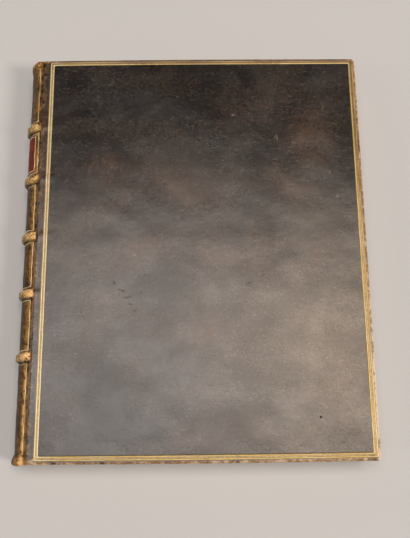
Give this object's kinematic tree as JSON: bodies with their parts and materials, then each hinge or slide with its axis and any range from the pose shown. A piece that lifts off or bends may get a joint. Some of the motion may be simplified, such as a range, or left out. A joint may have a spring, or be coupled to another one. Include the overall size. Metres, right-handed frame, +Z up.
{
  "type": "antique leather book",
  "caption": "Large closed leather-bound book with raised bands, a bare red spine label and a double gilt line round each hinged cover.",
  "frame": {"origin": "centre of the closed book's box, on the surface that it lies on, at the back cover's outer face", "axes": "+X from spine to fore-edge, +Y from tail to head, +Z up out of the front cover"},
  "size_m": [0.2358, 0.2816, 0.03],
  "materials": {
    "page_edges": "aged cream page edges with fine striations",
    "endpaper": "aged laid paper, matt",
    "hemp": "twisted hemp cord",
    "silk": "faded silk thread sewn over a core",
    "pasteboard": "grey-brown pasteboard",
    "cover_calf": "polished very dark brown calf, worn brown at the edges",
    "spine_calf": "rubbed dark brown calf, worn golden brown on bands and caps",
    "label_leather": "dull red morocco, bare",
    "gold_leaf": "rubbed gold leaf"
  },
  "bodies": {
    "pages": {"text_block": "page_edges", "front_endpaper": "endpaper", "back_endpaper": "endpaper", "spine_lining": "endpaper", "sewing_cord_1": "hemp", "sewing_cord_2": "hemp", "sewing_cord_3": "hemp", "sewing_cord_4": "hemp", "sewing_cord_5": "hemp", "head_headband": "silk", "tail_headband": "silk", "spine_leather": "spine_calf", "spine_label": "label_leather", "spine_gilding": "gold_leaf", "label_gilding": "gold_leaf"},
    "front_cover": {"front_board": "pasteboard", "front_cord_slips": "hemp", "front_pastedown": "endpaper", "front_leather": "cover_calf", "front_gilding": "gold_leaf"},
    "back_cover": {"back_board": "pasteboard", "back_cord_slips": "hemp", "back_pastedown": "endpaper", "back_leather": "cover_calf", "back_gilding": "gold_leaf"}
  },
  "joints": [
    {"name": "front_cover_hinge", "type": "hinge", "parent": "pages", "child": "front_cover", "pos_m": [-0.10525, 0, 0.03015], "axis": [0, -1, 0], "range_deg": [0, 170]},
    {"name": "back_cover_hinge", "type": "hinge", "parent": "pages", "child": "back_cover", "pos_m": [-0.10525, 0, -0.00015], "axis": [0, 1, 0], "range_deg": [0, 170]}
  ]
}
